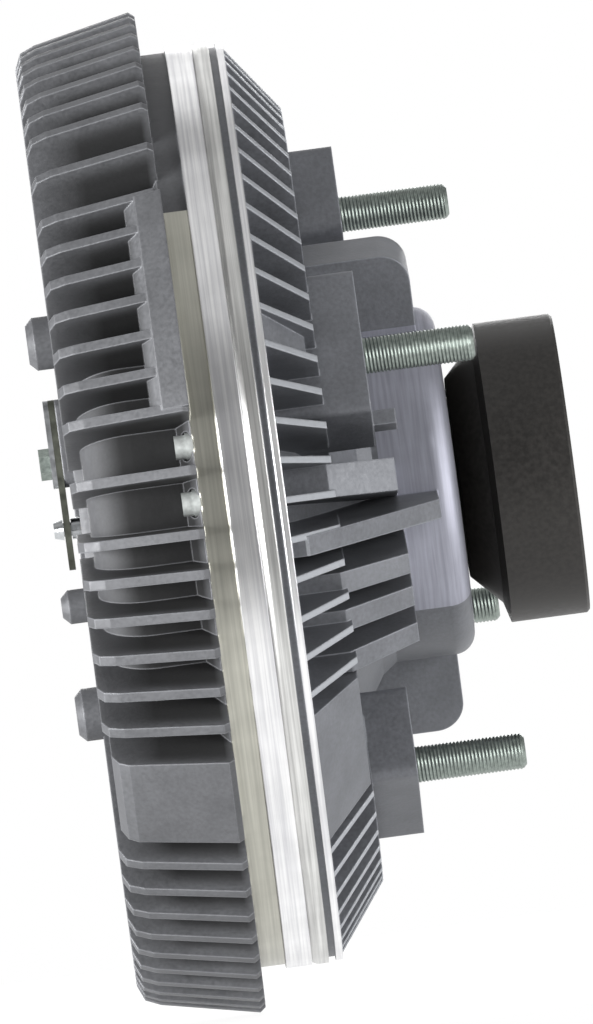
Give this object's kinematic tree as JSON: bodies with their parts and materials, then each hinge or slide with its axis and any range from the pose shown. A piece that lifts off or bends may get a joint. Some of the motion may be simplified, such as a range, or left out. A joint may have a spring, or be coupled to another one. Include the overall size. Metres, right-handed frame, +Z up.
{
  "type": "viscous fan clutch",
  "caption": "Finned viscous fan clutch: cast aluminium housing and cover with fan studs, a black drive end, an inner rotor and a bimetal-controlled oil valve.",
  "frame": {"origin": "Centre of the drive end's mounting face.", "axes": "+X runs along the clutch axis out of the drive face, +Z is up, and the front (air) side is at -X."},
  "size_m": [0.1458, 0.2792, 0.2794],
  "materials": {
    "cast_aluminium": "as cast, matt",
    "turned_aluminium": "turned",
    "zinc_steel": "zinc plated",
    "black_steel": "black phosphate, oiled",
    "steel": "plain",
    "bearing_steel": "ground",
    "rubber": "moulded",
    "bronze": "machined",
    "bimetal": "rolled, heat stained"
  },
  "bodies": {
    "drive": {"drive_shaft": "black_steel", "bearing_inner_ring": "bearing_steel", "rotor": "turned_aluminium", "rotor_washer": "steel", "rotor_nut": "steel"},
    "housing": {"front_cover": "cast_aluminium", "rear_housing": "cast_aluminium", "cover_screws": "steel", "cover_seal": "rubber", "fan_studs": "zinc_steel", "bearing_outer_ring": "bearing_steel", "bearing_shields": "rubber", "bearing_circlip": "steel", "shaft_seal": "rubber", "divider_plate": "steel", "divider_screws": "steel", "valve_rivet": "steel", "guide_bush": "bronze", "pin_seal": "rubber", "bimetal_strip": "bimetal", "clamp_plate": "steel", "bimetal_screw": "zinc_steel"},
    "ball_set": {"bearing_balls": "bearing_steel", "bearing_cage": "bronze"},
    "control_pin": {"control_pin": "bearing_steel"},
    "valve_lever": {"valve_lever": "steel"}
  },
  "joints": [
    {"name": "housing_spin", "type": "hinge", "parent": "drive", "child": "housing", "pos_m": [0, 0, 0], "axis": [1, 0, 0], "continuous": true},
    {"name": "ball_spin", "type": "hinge", "parent": "drive", "child": "ball_set", "pos_m": [0, 0, 0], "axis": [1, 0, 0], "continuous": true},
    {"name": "pin_slide", "type": "slide", "parent": "housing", "child": "control_pin", "axis": [-1, 0, 0], "range_m": [0, 0.0016], "deforming": ["bimetal_strip"]},
    {"name": "lever_tilt", "type": "hinge", "parent": "housing", "child": "valve_lever", "pos_m": [-0.1023, 0, -0.0365], "axis": [0, -1, 0], "range_deg": [0, 2.51]}
  ],
  "couplings": [
    {"joint": "ball_spin", "follows": "housing_spin", "ratio": 0.593},
    {"joint": "lever_tilt", "follows": "pin_slide", "rad_per_m": 27.397}
  ]
}
